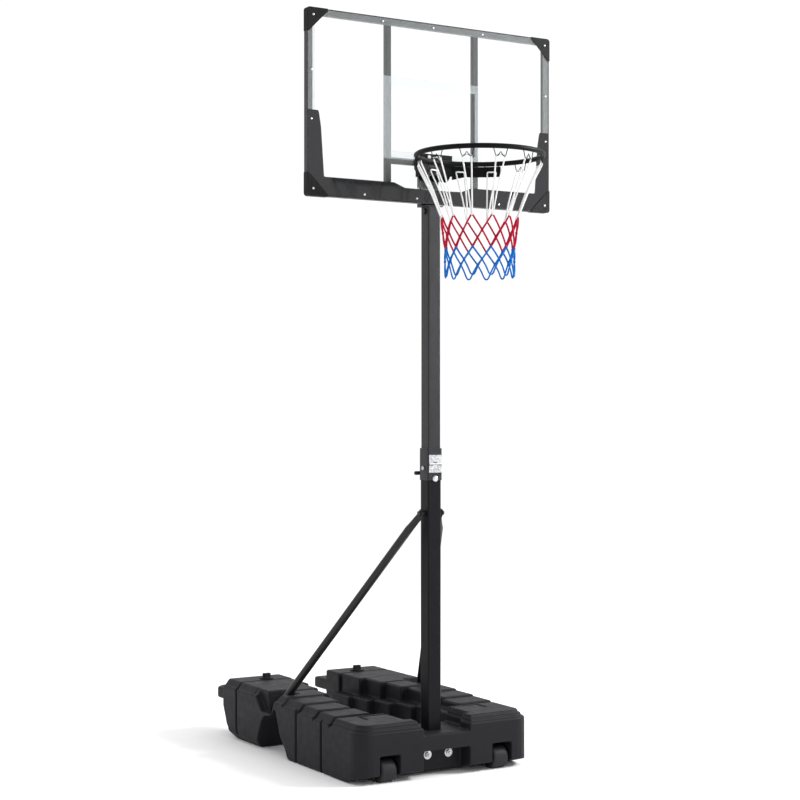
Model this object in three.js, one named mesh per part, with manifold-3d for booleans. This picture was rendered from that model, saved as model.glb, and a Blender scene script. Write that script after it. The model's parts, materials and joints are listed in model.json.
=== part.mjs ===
// Portable basketball hoop: a horseshoe ballast tank on two wheels, a square
// telescoping pole with two struts, a framed clear backboard and a rim with a net.
// Millimetres, +Z up. The front (rim side) faces -Y and the legs run back to +Y.
// Every piece is laid out from the pole's axis at ground level.

import * as THREE from 'three';
import { mergeVertices } from 'three/addons/utils/BufferGeometryUtils.js';
import Module from 'manifold-3d';

const wasm = await Module();
wasm.setup();

// ---------------------------------------------------------------- driving sizes

const GAP = 0.3;                       // clearance between pieces that touch

// ballast tank
const TANK_HALF = 393;                 // half of the width
const TANK_FRONT = -122;
const TANK_REAR = 1075;
const LIP_REAR = 1185;                 // the lifting lip behind each leg
const DECK_HALF = 106;                 // half of the deck between the front blocks
const DECK_TOP = 166;
const SKIRT_TOP = 198;                 // top of the plain side walls at the front
const SKIRT_DROP = 25;                 // from the raised part down to the side wall's top
const FRONT_TOP = 224;                 // top of the raised blocks at the front
const REAR_TOP = 248;                  // and at the rear
const RISE_END = 700;                  // where the raised blocks reach that height
const BLOCK_ENDS = [115, 245, 375, 510, 645, 780, 948, TANK_REAR];
const LEDGE_TOP = [203, 196, 190, 184, 178, 173, 170, 170];
const UPPER_INNER = [150, 204, 218, 200, 172, 150, 124, 116];
const LEDGE_INNER = [140, 150, 160, 142, 114, 88, 70, 116];
const FOOT_DRAFT = [8, 8, 8, 8, 14, 30, 30, 30];
const SIDE_SLOPE = 20;                 // lean of the raised part's outer side
const GROOVE = 9;                      // width and depth of the moulded grooves
const WALL_GROOVES = [180, 390, 942];  // upright grooves in the outer walls
const WALL_GROOVE = 14;                // their width
const RECESS_TOP = 106;                // hollow under the deck
const RECESS_BACK = -52;

// wheels
const WHEEL_X = 256;
const WHEEL_Y = -74;
const WHEEL_R = 44;
const WHEEL_W = 70;
const SLOT_W = 90;
const SLOT_TOP = 106;
const AXLE_R = 6;

// filler caps
const CAP_X = 226;
const CAP_Y = 986;
const CAP_BORE_R = 19;

// bolts
const BOLT_R = 5;
const ANCHOR_X = 48;
const ANCHOR_Z = 78;

// pole, struts and clamp collar
const POLE = 60;                       // outer side of the lower tube
const POLE_WALL = 1.5;
const POLE_FOOT = 60;                  // height of the lower tube's foot
const LOWER_TOP = 1262;
const UPPER = 56.4;                    // outer side of the sliding tube
const UPPER_WALL = 1.6;
const UPPER_FOOT = 450;
const UPPER_TOP = 2212;
const COLLAR = 66;
const COLLAR_FOOT = 1142;
const COLLAR_TOP = 1267;
const CLAMP_R = 6;                     // clamp screw
const CLAMP_Z = 1168;
const CLAMP_BAR_Y = 57;
const DOME_Z = 1148.5;                 // round bolt head on the front
const SIDE_BOLT_Z = 1189;
const KNUCKLE_Y = -38.5;               // latch hinge pin
const KNUCKLE_Z = 1207;
const KNUCKLE_R = 4.4;
const PIN_R = 2;
const LEAF_W = 58;
const LEAF_T = 3;
const TOOTH_Z = 1180;
const TAB_T = 7;                       // thickness of a pressed strut end
const SPACER_W = 13;                   // between the pole and a strut's upper end
const STRUT_R = 16;
const STRUT_PIN_Z = 1012;
const STRUT_FOOT = [340, 640, 186];

// backboard
const BOARD_W = 1116;
const BOARD_H = 707;
const BOARD_FOOT = 2222;
const BOARD_Y = -6;                    // middle of the frame
const FRAME = 25;                      // side of the frame tubes
const FRAME_WALL = 1.5;
const LIP = 3.5;                       // frame edge seen around the panel
const CORNER_R = 12;
const PANEL_T = 3;

// rim and net
const RIM_BORE_R = 228.5;              // 18 inch rim
const RIM_ROD = 9.5;
const RIM_Z = 2372;
const RIM_REACH = 346;                 // rim centre in front of the pole axis
const HOOKS = 12;
const NET_FOOT = 1893;
const HOOK_PHASE = 0.5;
const HOOK_HALF = 28;                  // half of a double hook's width
const HOOK_R = 1.8;
const APRON_SPREAD = 53 / 180 * Math.PI;
const APRON_FOOT = 2322;
const APRON_BACK = 236;                // where the apron's side walls start
const PLATE_HALF = 85;
const PLATE_FOOT = 2310;
const PLATE_TOP = 2417;
const PLATE_T = 5;
const RIM_BOLT_R = 4;
const RIM_BOLT_X = 24;
const RIM_BOLT_LOW = 2336;
const RIM_BOLT_HIGH = 2404;

// bracket behind the backboard
const SHEET = 3;
const BRACKET_HALF = 40;
const BRACKET_BACK = 37;
const BRACKET_TOP = 2420;
const SOLE_T = 4;                      // plate on the top of the pole
const SLEEVE_FOOT = 2150;              // sleeve inside the top of the pole
const TIE_Y = 22;
const TIE_Z = 2282;
const POLE_BOLT_Z = 2195;
const BAR_X = 201;                     // upright tubes behind the panel
const BAR_DEPTH = 21;
const CROSS_Z = 2381;
const GUARD_SIDE = 1.3;                // how far a corner guard stands out sideways
const GUARD_FRONT = 3;

const BOARD_FRONT = BOARD_Y - FRAME / 2;
const FRAME_BACK = BOARD_Y + FRAME / 2;
const PANEL_BACK = BOARD_FRONT + PANEL_T;
const BOARD_TOP = BOARD_FOOT + BOARD_H;
const BAR_Y = PANEL_BACK + GAP + BAR_DEPTH / 2;
const FRONT_END = -RIM_REACH - RIM_BORE_R - 2 * RIM_ROD;
const CENTRE_Y = (FRONT_END + LIP_REAR) / 2;

// ---------------------------------------------------------------- materials

const paint = (colour, roughness, metalness) =>
  new THREE.MeshStandardMaterial({ color: colour, roughness, metalness });
const BLACK_PLASTIC = [0x26272a, 0.55, 0];
const BLACK_STEEL = [0x1d1e20, 0.38, 0.4];
const ZINC = [0xc9ccd0, 0.28, 1];
const RUBBER = [0x2a2b2d, 0.7, 0];
const CLEAR = [0xdfe9e6, 0.08, 0];
const NET_CORD = [0xf2f2f2, 0.85, 0];

// ---------------------------------------------------------------- solid helpers

function toSolid(geometry) {
  const bare = geometry.index ? geometry.toNonIndexed() : geometry.clone();
  for (const name of Object.keys(bare.attributes)) {
    if (name !== 'position') bare.deleteAttribute(name);
  }
  const merged = mergeVertices(bare, 1e-4);
  return new wasm.Manifold(new wasm.Mesh({
    numProp: 3,
    vertProperties: new Float32Array(merged.attributes.position.array),
    triVerts: new Uint32Array(merged.index.array),
  }));
}

function toGeometry(solid) {
  const mesh = solid.getMesh();
  const geometry = new THREE.BufferGeometry();
  const places = new THREE.BufferAttribute(new Float32Array(mesh.vertProperties), mesh.numProp);
  geometry.setAttribute('position', places);
  geometry.setIndex(new THREE.BufferAttribute(new Uint32Array(mesh.triVerts), 1));
  return geometry;
}

const join = (solids) => solids.reduce((sum, next) => sum.add(next));
const cut = (solid, tools) => tools.reduce((rest, tool) => rest.subtract(tool), solid);

function box(x0, x1, y0, y1, z0, z1) {
  const geometry = new THREE.BoxGeometry(x1 - x0, y1 - y0, z1 - z0);
  return geometry.translate((x0 + x1) / 2, (y0 + y1) / 2, (z0 + z1) / 2);
}

// a cylinder from point a along axis 'x', 'y' or 'z'
function rod(axis, radius, length, [x, y, z], sides = 20) {
  const geometry = new THREE.CylinderGeometry(radius, radius, length, sides);
  geometry.translate(0, length / 2, 0);
  if (axis === 'x') geometry.rotateZ(-Math.PI / 2);
  if (axis === 'z') geometry.rotateX(Math.PI / 2);
  return geometry.translate(x, y, z);
}

// a closed loop of corners, turned to run the way that is asked for
function loop(points, anticlockwise) {
  const corners = points.map(([x, y]) => new THREE.Vector2(x, y));
  const runs = THREE.ShapeUtils.area(corners) > 0;
  return runs === anticlockwise ? corners : corners.reverse();
}

function outline(points, holes = []) {
  const shape = new THREE.Shape(loop(points, true));
  for (const hole of holes) shape.holes.push(new THREE.Path(loop(hole, false)));
  return shape;
}

function roundedRect(width, height, radius, sides = 4) {
  const points = [];
  const corners = [[1, 1, 0], [-1, 1, 1], [-1, -1, 2], [1, -1, 3]];
  for (const [sx, sy, quarter] of corners) {
    for (let i = 0; i <= sides; i += 1) {
      const angle = (quarter + i / sides) * Math.PI / 2;
      points.push([sx * (width / 2 - radius) + radius * Math.cos(angle),
        sy * (height / 2 - radius) + radius * Math.sin(angle)]);
    }
  }
  return points;
}

// an outline in X and Y, pushed up from z0 to z1, with bevelled edges
function slab(points, z0, z1, bevel = 0, holes = []) {
  return new THREE.ExtrudeGeometry(outline(points, holes), {
    depth: z1 - z0 - 2 * bevel,
    bevelEnabled: bevel > 0,
    bevelThickness: bevel,
    bevelSize: bevel,
    bevelOffset: -bevel,
    bevelSegments: 1,
    curveSegments: 4,
  }).translate(0, 0, z0 + bevel);
}

// an outline in X and Z, pushed back from y0 to y1
function plate(points, y0, y1, holes = []) {
  const geometry = new THREE.ExtrudeGeometry(outline(points, holes), {
    depth: y1 - y0, bevelEnabled: false, curveSegments: 4,
  });
  return geometry.rotateX(Math.PI / 2).translate(0, y1, 0);
}

// an outline in Y and Z, pushed across from x0 to x1
function cheek(points, x0, x1, holes = []) {
  const turn = (loop) => loop.map(([y, z]) => [-z, y]);
  const geometry = new THREE.ExtrudeGeometry(outline(turn(points), holes.map(turn)), {
    depth: x1 - x0, bevelEnabled: false, curveSegments: 4,
  });
  return geometry.rotateY(Math.PI / 2).translate(x0, 0, 0);
}

function boxTube(width, depth, wall, radius, z0, z1) {
  const outer = roundedRect(width, depth, radius, 3);
  const inner = roundedRect(width - 2 * wall, depth - 2 * wall, Math.max(radius - wall, 1), 3);
  return slab(outer, z0, z1, 0, [inner]);
}

const squareTube = (size, wall, radius, z0, z1) => boxTube(size, size, wall, radius, z0, z1);

function wire(points, radius, sides, steps) {
  const path = new THREE.CatmullRomCurve3(points.map((p) => new THREE.Vector3(...p)));
  const ring = [];
  for (let i = 0; i < sides; i += 1) {
    const angle = i / sides * 2 * Math.PI;
    ring.push([radius * Math.cos(angle), radius * Math.sin(angle)]);
  }
  return new THREE.ExtrudeGeometry(outline(ring), {
    steps, extrudePath: path, bevelEnabled: false,
  });
}

const hoop = new THREE.Group();

function put(name, geometry, look, parent = hoop) {
  const mesh = new THREE.Mesh(geometry, paint(...look));
  mesh.name = name;
  parent.add(mesh);
  return mesh;
}

// ---------------------------------------------------------------- ballast tank

const topAt = (y) => FRONT_TOP + (REAR_TOP - FRONT_TOP)
  * Math.min(1, Math.max(0, y - BLOCK_ENDS[0]) / (RISE_END - BLOCK_ENDS[0]));

const mirrored = (points, side) => points.map(([x, y]) => [side * x, y]);

// front block of one leg: a plain skirt with two raised steps on it
function frontBlock(side) {
  const end = BLOCK_ENDS[0] - GROOVE / 2;
  const corner = 62;
  const steps = [[0, 0, SKIRT_TOP, 5], [13, SKIRT_TOP - 20, 211, 3],
    [24, SKIRT_TOP - 20, FRONT_TOP, 4]];
  return steps.map(([inset, z0, z1, bevel]) => {
    const edge = TANK_HALF - inset;
    const front = TANK_FRONT + inset;
    const radius = corner - inset * 0.6;
    const inner = UPPER_INNER[0] - 10 + inset * 0.4;
    const points = [[DECK_HALF + inset * 0.6, front]];
    for (let i = 0; i <= 5; i += 1) {
      const angle = (i / 5 - 1) * Math.PI / 2;
      points.push([edge - radius + radius * Math.cos(angle),
        front + radius + radius * Math.sin(angle)]);
    }
    points.push([edge, end], [inner, end], [inner, -44], [DECK_HALF + inset * 0.6, -44]);
    return toSolid(slab(mirrored(points, side), z0, z1, bevel));
  });
}

// cross-section of a leg in X and Z: outer wall, raised part and inner ledge
function legSection(ledgeX, upperX, ledgeTop, top, draft, inset) {
  const skirt = top - SKIRT_DROP - inset;
  const points = [[ledgeX + inset, 0], [TANK_HALF - draft, 0], [TANK_HALF - draft * 0.15, draft],
    [TANK_HALF, 2 * draft], [TANK_HALF, skirt - 4], [TANK_HALF - 4, skirt],
    [TANK_HALF - 10 - inset, skirt], [TANK_HALF - 10 - SIDE_SLOPE - inset, top - inset],
    [upperX + 6 + inset, top - inset], [upperX + inset, top - 6 - inset]];
  if (upperX - ledgeX < 10) return points;
  points.push([upperX + inset, ledgeTop - inset], [ledgeX + 5 + inset, ledgeTop - inset],
    [ledgeX + inset, ledgeTop - 5 - inset]);
  return points;
}

// one leg: moulded blocks with a groove over the top and the inside between each two
function legBlocks(side) {
  const solids = [];
  for (let i = 1; i < BLOCK_ENDS.length; i += 1) {
    const y0 = BLOCK_ENDS[i - 1] + GROOVE / 2;
    const y1 = BLOCK_ENDS[i] - (i + 1 < BLOCK_ENDS.length ? GROOVE / 2 : 0);
    const block = legSection(LEDGE_INNER[i], UPPER_INNER[i], LEDGE_TOP[i], topAt(y1),
      FOOT_DRAFT[i], 0);
    const neck = legSection(Math.max(LEDGE_INNER[i - 1], LEDGE_INNER[i]),
      Math.max(UPPER_INNER[i - 1], UPPER_INNER[i]), LEDGE_TOP[i], topAt(y0), FOOT_DRAFT[i - 1],
      GROOVE);
    solids.push(toSolid(plate(mirrored(block, side), y0, y1)));
    solids.push(toSolid(plate(mirrored(neck, side), y0 - GROOVE - 1, y0 + 1)));
  }
  return solids;
}

// low tongue to lift the tank by, behind a leg
function liftingLip(side) {
  const inner = UPPER_INNER[UPPER_INNER.length - 1];
  const outer = TANK_HALF - 12;
  const points = [[inner, TANK_REAR - 60], [outer, TANK_REAR - 60], [outer, LIP_REAR - 30],
    [outer - 30, LIP_REAR], [inner, LIP_REAR]];
  return toSolid(slab(mirrored(points, side), 155, 205, 6));
}

function tank() {
  const solids = [
    toSolid(box(-DECK_HALF - 40, DECK_HALF + 40, TANK_FRONT, 118, 0, DECK_TOP)),
    toSolid(box(-DECK_HALF, DECK_HALF, TANK_FRONT + 10, TANK_FRONT + 18, 60, DECK_TOP + 4)),
  ];
  for (const side of [-1, 1]) {
    solids.push(...frontBlock(side), ...legBlocks(side), liftingLip(side));
  }
  const wide = TANK_HALF + 9;
  const tools = [
    toSolid(box(-DECK_HALF, DECK_HALF, TANK_FRONT - 9, RECESS_BACK, -9, RECESS_TOP)),
    toSolid(box(-POLE / 2 - 1, POLE / 2 + 1, -POLE / 2 - 1, POLE / 2 + 1, POLE_FOOT - 12, 300)),
    toSolid(cheek([[TANK_FRONT - 9, -9], [TANK_FRONT - 9, 37], [TANK_FRONT, 34], [0, 0],
      [0, -9]], -wide, wide)),
    toSolid(cheek([[TANK_REAR + 9, -9], [TANK_REAR + 9, 145], [TANK_REAR, 136],
      [TANK_REAR - 50, 30], [TANK_REAR - 90, -9]], -wide, wide)),
  ];
  for (const side of [-1, 1]) tools.push(...tankCuts(side));
  return toGeometry(cut(join(solids), tools));
}

// wheel slot, axle bore, arch, strut notch, grooves and filler hole of one leg
function tankCuts(side) {
  const across = (x0, x1) => [Math.min(side * x0, side * x1), Math.max(side * x0, side * x1)];
  const slot = across(WHEEL_X - SLOT_W / 2, WHEEL_X + SLOT_W / 2);
  const bore = across(WHEEL_X - SLOT_W / 2 - 18, WHEEL_X + SLOT_W / 2 + 18);
  const outside = TANK_HALF + 9;
  const [footX, footY, footZ] = STRUT_FOOT;
  const arch = [[462, -9], [480, 30], [500, 52], [535, 92], [560, 160], [572, 184], [590, 186],
    [602, 166], [640, 152], [672, 149], [697, 130], [752, 22], [766, -9]];
  const lowArch = [[462, -9], [480, 30], [500, 52], [530, 84], [560, 112], [680, 112],
    [752, 22], [766, -9]];
  const pocket = [[footY - 90, 300], [footY - 30, footZ - 22], [footY + 34, footZ - 22],
    [footY + 50, 300]];
  const pocketRear = [[footY, footZ - 22], [footY + 62, footZ - 22], [footY + 112, 215],
    [footY + 112, 300], [footY, 300]];
  const slit = [[footY - 100, 300], [footY - 56, footZ + 8], [footY + 34, footZ + 8],
    [footY + 50, 300]];
  const groove = WALL_GROOVE / 2;
  return [
    toSolid(box(...slot, TANK_FRONT - 9, -14, -9, SLOT_TOP)),
    toSolid(rod('x', AXLE_R + GAP, bore[1] - bore[0], [bore[0], WHEEL_Y, WHEEL_R], 20)),
    toSolid(cheek(arch, ...across(250, outside))),
    toSolid(cheek(lowArch, ...across(40, 252))),
    toSolid(rod('y', BOLT_R + GAP, 50, [side * ANCHOR_X, RECESS_BACK - 10, ANCHOR_Z], 16)),
    toSolid(rod('x', BOLT_R + GAP, 30, [side > 0 ? footX - 46 : -footX + 16, footY, footZ], 16)),
    toSolid(cheek(pocket, ...across(footX - 26, outside))),
    toSolid(cheek(pocketRear, ...across(TANK_HALF - 26, outside))),
    toSolid(cheek(slit, ...across(footX - 60, footX))),
    toSolid(rod('z', CAP_BORE_R, 70, [side * CAP_X, CAP_Y, 200], 24)),
    toSolid(box(...across(140, 281), 82, 94, FRONT_TOP - 10, 300)),
    toSolid(box(...across(269, 281), 20, 90, FRONT_TOP - 10, 300)),
    ...WALL_GROOVES.map((y) =>
      toSolid(box(...across(TANK_HALF - 12, outside), y - groove, y + groove, -9, 300))),
  ];
}

function wheel() {
  const half = WHEEL_W / 2;
  const bore = AXLE_R + 0.6;
  const profile = [[bore, half - 9], [17, half - 9], [20, half - 4], [32, half - 1],
    [38, half - 1.5], [WHEEL_R - 2, half - 5], [WHEEL_R, half - 11]];
  const below = profile.map(([r, h]) => [r, -h]);
  const points = [...below, ...profile.reverse()].map(([r, h]) => new THREE.Vector2(r, h));
  points.push(points[0].clone());
  return new THREE.LatheGeometry(points, 26).rotateZ(-Math.PI / 2);
}

// screw cap: a stem in the filler hole, a flange on the tank and a square grip
function fillCap() {
  const stem = toSolid(rod('z', CAP_BORE_R - GAP, 28, [0, 0, -24], 24));
  const flange = toSolid(rod('z', 31, 5, [0, 0, GAP], 24));
  const grip = toSolid(slab(roundedRect(34, 20, 4, 2), 3, 24, 2));
  return toGeometry(join([stem, flange, grip]));
}

// nut and washer on a threaded end that points to -Y
function anchorBolt() {
  const shank = toSolid(rod('y', 5, 46, [0, -16, 0], 14));
  const washer = toSolid(rod('y', 18, 2.5, [0, -2.8, 0], 20));
  const nut = toSolid(rod('y', 12, 8, [0, -10.6, 0], 6));
  return toGeometry(join([shank, washer, nut]));
}

function baseAssembly() {
  put('base_tank', tank(), BLACK_PLASTIC);
  for (const [side, label] of [[-1, 'left'], [1, 'right']]) {
    const reach = SLOT_W + 32;
    put(`axle_${label}`, rod('x', AXLE_R, reach, [-reach / 2, 0, 0], 20), ZINC)
      .position.set(side * WHEEL_X, WHEEL_Y, WHEEL_R);
    put(`wheel_${label}`, wheel(), RUBBER).position.set(side * WHEEL_X, WHEEL_Y, WHEEL_R);
    put(`fill_cap_${label}`, fillCap(), BLACK_PLASTIC)
      .position.set(side * CAP_X, CAP_Y, topAt(TANK_REAR - GROOVE / 2));
    put(`anchor_bolt_${label}`, anchorBolt(), ZINC)
      .position.set(side * ANCHOR_X, RECESS_BACK, ANCHOR_Z);
  }
}

// ---------------------------------------------------------------- pole and struts

// closed skin over rings with the same number of points
function skin(rings) {
  const count = rings[0].length;
  const places = rings.flat(2);
  const ends = [rings[0], rings[rings.length - 1]];
  for (const ring of ends) {
    for (let k = 0; k < 3; k += 1) places.push(ring.reduce((sum, p) => sum + p[k], 0) / count);
  }
  const faces = [];
  for (let i = 0; i + 1 < rings.length; i += 1) {
    for (let j = 0; j < count; j += 1) {
      const a = i * count + j;
      const b = i * count + (j + 1) % count;
      faces.push(a, b, b + count, a, b + count, a + count);
    }
  }
  const first = rings.length * count;
  const last = first - count;
  for (let j = 0; j < count; j += 1) {
    const next = (j + 1) % count;
    faces.push(first, next, j, first + 1, last + j, last + next);
  }
  const geometry = new THREE.BufferGeometry();
  geometry.setAttribute('position', new THREE.Float32BufferAttribute(places, 3));
  geometry.setIndex(faces);
  return geometry;
}

// a tube whose two ends are pressed flat for a bolt along X
function strut(side) {
  const [footX, footY, footZ] = STRUT_FOOT;
  const topX = POLE / 2 + SPACER_W + 2 * GAP + TAB_T / 2;
  const run = new THREE.Vector3(footX - topX, footY, footZ - STRUT_PIN_Z);
  const slope = new THREE.Vector3(0, run.y, run.z).normalize();
  const along = run.clone().normalize();
  const section = (centre, direction, width, thick) => {
    const wide = new THREE.Vector3(1, 0, 0).cross(direction).normalize();
    const thin = direction.clone().cross(wide).normalize();
    const ring = [];
    for (let i = 0; i < 14; i += 1) {
      const angle = i / 14 * 2 * Math.PI;
      const place = centre.clone().addScaledVector(wide, width * Math.cos(angle))
        .addScaledVector(thin, thick * Math.sin(angle));
      ring.push([side * place.x, place.y, place.z]);
    }
    return side > 0 ? ring : ring.reverse();
  };
  const top = new THREE.Vector3(topX, 0, STRUT_PIN_Z);
  const foot = new THREE.Vector3(footX, footY, footZ);
  const from = (end, way, distance) => end.clone().addScaledVector(way, distance);
  const rings = [
    section(from(top, slope, -15), slope, 8, TAB_T / 2),
    section(from(top, slope, -9), slope, 14, TAB_T / 2),
    section(from(top, slope, 22), slope, 18, TAB_T / 2),
    section(from(top, along, 80), along, STRUT_R, STRUT_R),
    section(from(foot, along, -80), along, STRUT_R, STRUT_R),
    section(from(foot, slope, -22), slope, 18, TAB_T / 2),
    section(from(foot, slope, 9), slope, 14, TAB_T / 2),
    section(from(foot, slope, 15), slope, 8, TAB_T / 2),
  ];
  const bores = [[topX, 0, STRUT_PIN_Z], [footX, footY, footZ]].map(([x, y, z]) =>
    toSolid(rod('x', BOLT_R + GAP, 40, [side * x - 20, y, z], 16)));
  return toGeometry(cut(toSolid(skin(rings)), bores));
}

// ring that holds a strut's upper end off the pole
function strutSpacer(side) {
  const inner = POLE / 2 + GAP;
  const start = side > 0 ? inner : -inner - SPACER_W;
  const ring = toSolid(rod('x', 12, SPACER_W, [start, 0, STRUT_PIN_Z], 20));
  const bore = toSolid(rod('x', BOLT_R + GAP, SPACER_W + 4, [start - 2, 0, STRUT_PIN_Z], 16));
  return toGeometry(ring.subtract(bore));
}

// a bolt along X: head outside at x = 0, shank towards the middle of the object
function sideBolt(side, headR, headH, shank, sides = 6) {
  const head = toSolid(rod('x', headR, headH, [side > 0 ? 0 : -headH, 0, 0], sides));
  const stem = toSolid(rod('x', BOLT_R, shank + headH / 2,
    [side > 0 ? -shank : -headH / 2, 0, 0], 14));
  return toGeometry(head.add(stem));
}

function lowerPole() {
  const tube = toSolid(squareTube(POLE, POLE_WALL, 6, POLE_FOOT, LOWER_TOP));
  return toGeometry(cut(tube, [
    toSolid(rod('x', BOLT_R + GAP, POLE + 10, [-POLE / 2 - 5, 0, STRUT_PIN_Z], 16)),
    toSolid(rod('y', CLAMP_R + 0.7, 20, [0, POLE / 2 - 10, CLAMP_Z], 18)),
    toSolid(box(-12, 12, -POLE / 2 - 5, -POLE / 2 + 5, TOOTH_Z - 8, TOOTH_Z + 6)),
  ]));
}

function poleAssembly() {
  put('lower_pole', lowerPole(), BLACK_STEEL);
  const plug = POLE - 2 * POLE_WALL - 2 * GAP;
  put('pole_foot_plug', slab(roundedRect(plug, plug, 4, 2), POLE_FOOT + 2, POLE_FOOT + 20),
    BLACK_PLASTIC);
  for (const [side, label] of [[-1, 'left'], [1, 'right']]) {
    const [footX, footY, footZ] = STRUT_FOOT;
    put(`strut_${label}`, strut(side), BLACK_STEEL);
    put(`strut_spacer_${label}`, strutSpacer(side), BLACK_STEEL);
    const reach = SPACER_W + TAB_T + 3 * GAP;
    put(`strut_top_bolt_${label}`, sideBolt(side, 10, 7, reach + POLE_WALL), BLACK_STEEL)
      .position.set(side * (POLE / 2 + reach), 0, STRUT_PIN_Z);
    put(`strut_foot_bolt_${label}`, sideBolt(side, 11, 8, 40), ZINC)
      .position.set(side * (footX + TAB_T / 2 + GAP), footY, footZ);
  }
}

// ---------------------------------------------------------------- clamp collar

function collar() {
  const tube = toSolid(squareTube(COLLAR, (COLLAR - POLE) / 2 - GAP, 7, COLLAR_FOOT, COLLAR_TOP));
  return toGeometry(cut(tube, [
    toSolid(rod('y', CLAMP_R + 0.7, 20, [0, COLLAR / 2 - 10, CLAMP_Z], 18)),
    toSolid(rod('y', 5.3, 20, [0, -COLLAR / 2 - 10, DOME_Z], 14)),
    toSolid(rod('x', 4.3, 20, [-COLLAR / 2 - 10, 0, SIDE_BOLT_Z], 14)),
    toSolid(box(-12, 12, -COLLAR / 2 - 5, -COLLAR / 2 + 5, TOOTH_Z - 8, TOOTH_Z + 6)),
  ]));
}

// screw through the rear of the collar with a long T bar to turn it by
function clampHandle() {
  const tip = UPPER / 2 + GAP;
  const screw = toSolid(rod('y', CLAMP_R, CLAMP_BAR_Y - tip, [0, tip, 0], 16));
  const boss = toSolid(rod('y', 12, 14, [0, CLAMP_BAR_Y - 17, 0], 18));
  const bar = toSolid(new THREE.CapsuleGeometry(8, 66, 4, 14).rotateZ(Math.PI / 2)
    .translate(0, CLAMP_BAR_Y, 0));
  return toGeometry(join([screw, boss, bar]));
}

// one hinge leaf in X and Z with its share of the knuckle; the pin is at the origin
function hingeLeaf(z0, z1, knuckles, tooth) {
  const back = -KNUCKLE_Y - COLLAR / 2 - GAP;
  const leaf = toSolid(box(-LEAF_W / 2, LEAF_W / 2, back - LEAF_T, back, z0, z1));
  const solids = [leaf];
  for (const [x0, x1] of knuckles) {
    const web = z0 < 0 ? [z1 - 1, 0] : [0, z0 + 1];
    solids.push(toSolid(rod('x', KNUCKLE_R, x1 - x0, [x0, 0, 0], 16)));
    solids.push(toSolid(box(x0, x1, back - LEAF_T, back, ...web)));
  }
  if (tooth) {
    const reach = COLLAR / 2 - UPPER / 2 - 0.6;
    solids.push(toSolid(box(-10, 10, back - 1, back + reach, tooth - 4, tooth + 4)));
  }
  const bore = toSolid(rod('x', PIN_R + GAP, LEAF_W + 4, [-LEAF_W / 2 - 2, 0, 0], 14));
  return toGeometry(join(solids).subtract(bore));
}

function screwHead(radius, height) {
  const stops = [[0, 0], [radius, 0], [radius * 0.75, height * 0.8], [radius * 0.3, height],
    [0, height]];
  const profile = stops.map(([r, h]) => new THREE.Vector2(r, h));
  return new THREE.LatheGeometry(profile, 14).rotateX(Math.PI);
}

function collarAssembly() {
  put('collar', collar(), BLACK_STEEL);
  put('collar_side_bolt', toGeometry(toSolid(rod('x', 9, 5, [-5, 0, 0], 6))
    .add(toSolid(rod('x', 4, 4.6, [-2, 0, 0], 14)))), ZINC)
    .position.set(-COLLAR / 2 - GAP, 0, SIDE_BOLT_Z);
  const dome = toSolid(boltDome(13, 7)).add(toSolid(rod('y', 5, 4.6, [0, -2, 0], 14)));
  put('collar_front_bolt', toGeometry(dome), ZINC)
    .position.set(0, -COLLAR / 2 - GAP, DOME_Z);
  put('clamp_handle', clampHandle(), BLACK_STEEL).position.set(0, 0, CLAMP_Z);

  const hinge = new THREE.Group();
  hinge.position.set(0, KNUCKLE_Y, KNUCKLE_Z);
  hoop.add(hinge);
  put('latch_upper_leaf', hingeLeaf(6, 34, [[-29, -10.8], [10.8, 29]], 0), ZINC, hinge);
  put('latch_lower_leaf', hingeLeaf(-35, -7, [[-10.2, 10.2]], TOOTH_Z - KNUCKLE_Z), ZINC, hinge);
  put('latch_pin', rod('x', PIN_R, LEAF_W - 1, [-(LEAF_W - 1) / 2, 0, 0], 12), ZINC, hinge);
  const face = -KNUCKLE_Y - COLLAR / 2 - GAP - LEAF_T - GAP;
  let number = 1;
  for (const z of [20, -21]) {
    for (const x of [-16, 16]) {
      put(`latch_screw_${number}`, screwHead(4.5, 2.2), ZINC, hinge)
        .position.set(x, face, z);
      number += 1;
    }
  }
}

// dome head that bulges towards -Y
function boltDome(radius, height) {
  const points = [[0, 0], [radius, 0]];
  for (let i = 1; i < 5; i += 1) {
    const angle = i / 5 * Math.PI / 2;
    points.push([radius * Math.cos(angle), height * Math.sin(angle)]);
  }
  points.push([0, height]);
  const profile = points.map(([r, h]) => new THREE.Vector2(r, h));
  return new THREE.LatheGeometry(profile, 20).rotateX(Math.PI);
}

// ---------------------------------------------------------------- backboard

function panel() {
  const w = BOARD_W / 2 - LIP - GAP;
  const points = [[-w, BOARD_FOOT + LIP + GAP], [w, BOARD_FOOT + LIP + GAP],
    [w, BOARD_TOP - LIP - GAP], [-w, BOARD_TOP - LIP - GAP]];
  const holes = rimBoltPlaces().map(([x, z]) => {
    const ring = [];
    for (let i = 0; i < 12; i += 1) {
      const angle = i / 12 * 2 * Math.PI;
      ring.push([x + 5 * Math.cos(angle), z + 5 * Math.sin(angle)]);
    }
    return ring;
  });
  return plate(points, BOARD_FRONT, PANEL_BACK, holes);
}

const rimBoltPlaces = () => [[-RIM_BOLT_X, RIM_BOLT_LOW], [RIM_BOLT_X, RIM_BOLT_LOW],
  [-RIM_BOLT_X, RIM_BOLT_HIGH], [RIM_BOLT_X, RIM_BOLT_HIGH]];

// frame member: a tube behind the panel with a thin lip round the panel's edge.
// Its section runs inwards from the outer edge at 0.
const memberSection = () => [[0, FRAME_BACK], [0, BOARD_FRONT], [LIP, BOARD_FRONT],
  [LIP, PANEL_BACK + GAP], [FRAME, PANEL_BACK + GAP], [FRAME, FRAME_BACK]];

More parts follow.
